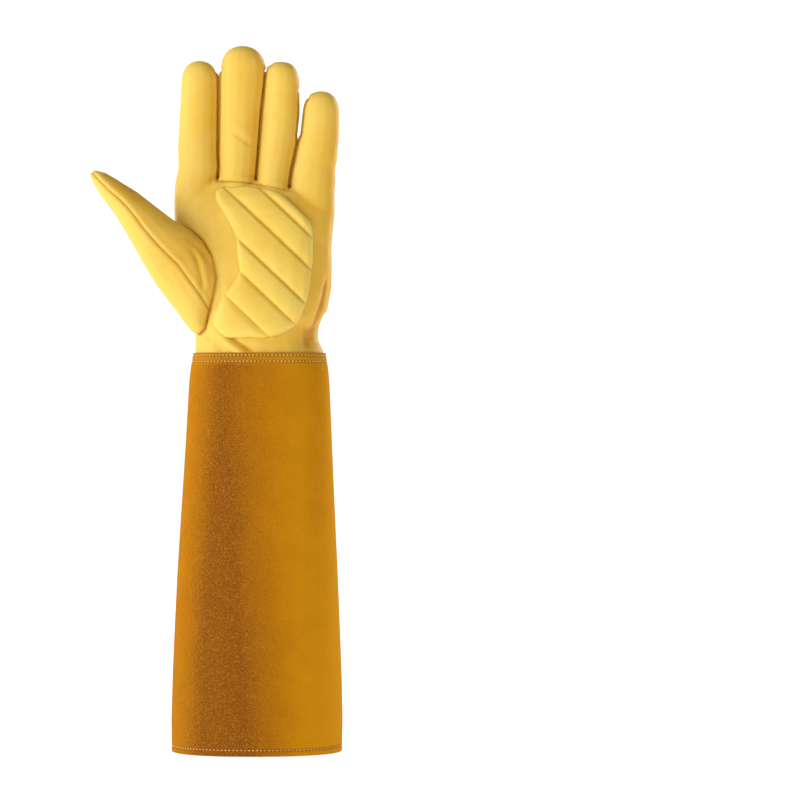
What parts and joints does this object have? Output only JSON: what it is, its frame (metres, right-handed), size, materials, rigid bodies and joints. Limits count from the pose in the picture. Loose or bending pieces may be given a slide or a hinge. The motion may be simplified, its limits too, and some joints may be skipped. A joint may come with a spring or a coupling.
{
  "type": "rose pruning gauntlet",
  "caption": "Left-hand leather gauntlet, hollow as worn: grain leather hand with a quilted palm pad and gathered wrist, sewn into a long flared suede sleeve.",
  "frame": {"origin": "centre of the sleeve's open mouth, in the plane of its hem, where the forearm goes in", "axes": "+Z from the hem towards the fingertips, -Y out of the palm, -X the thumb's side"},
  "size_m": [0.1638, 0.1002, 0.4634],
  "materials": {
    "grain_leather": "smooth golden yellow grain leather, soft sheen",
    "side_leather": "smooth yellow leather, a little deeper in tone",
    "pad_leather": "smooth quilted yellow leather",
    "welt_leather": "thin brown-yellow edge strip",
    "suede": "napped golden brown split suede"
  },
  "bodies": {
    "root": {"palm_panel": "grain_leather", "back_panel": "grain_leather", "middle_finger_fronts": "grain_leather", "fourchette_index_middle": "side_leather", "fourchette_middle_ring": "side_leather", "fourchette_ring_little": "side_leather", "thumb_inner_panel": "grain_leather", "thumb_outer_panel": "grain_leather", "palm_pad": "pad_leather", "index_seam_welt": "welt_leather", "sleeve": "suede"}
  },
  "joints": []
}
